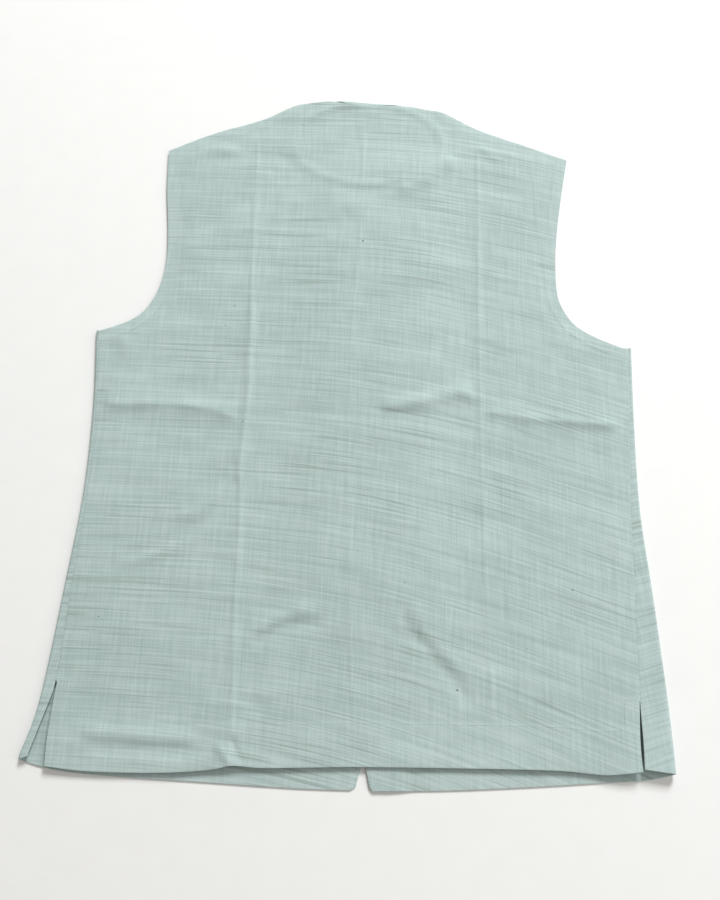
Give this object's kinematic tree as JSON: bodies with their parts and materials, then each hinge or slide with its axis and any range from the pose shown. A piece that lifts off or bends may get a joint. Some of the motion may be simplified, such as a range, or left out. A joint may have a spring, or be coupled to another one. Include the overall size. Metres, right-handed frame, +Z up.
{
  "type": "nehru jacket",
  "caption": "Sleeveless band-collar jacket in pale blue-green slubbed handloom cotton, buttoned and laid flat face down, so its plain back and side vents show",
  "frame": {"origin": "on the ground under the middle of the laid-out jacket: the bottom centre of its bounding box", "axes": "+Y runs from the hem to the collar, +X to the wearer's right as the jacket lies face down, and +Z up, away from the ground and out of the jacket's back"},
  "size_m": [0.6019, 0.7333, 0.0099],
  "materials": {
    "handloom_cotton": "matt plain-weave handloom cotton, pale blue-green with darker weft slubs",
    "button_resin": "pale four-hole resin button, softly polished"
  },
  "bodies": {
    "root": {"back": "handloom_cotton", "front_left": "handloom_cotton", "front_right": "handloom_cotton", "collar": "handloom_cotton", "button_1": "button_resin", "button_2": "button_resin", "button_3": "button_resin", "button_4": "button_resin", "button_5": "button_resin"}
  },
  "joints": []
}
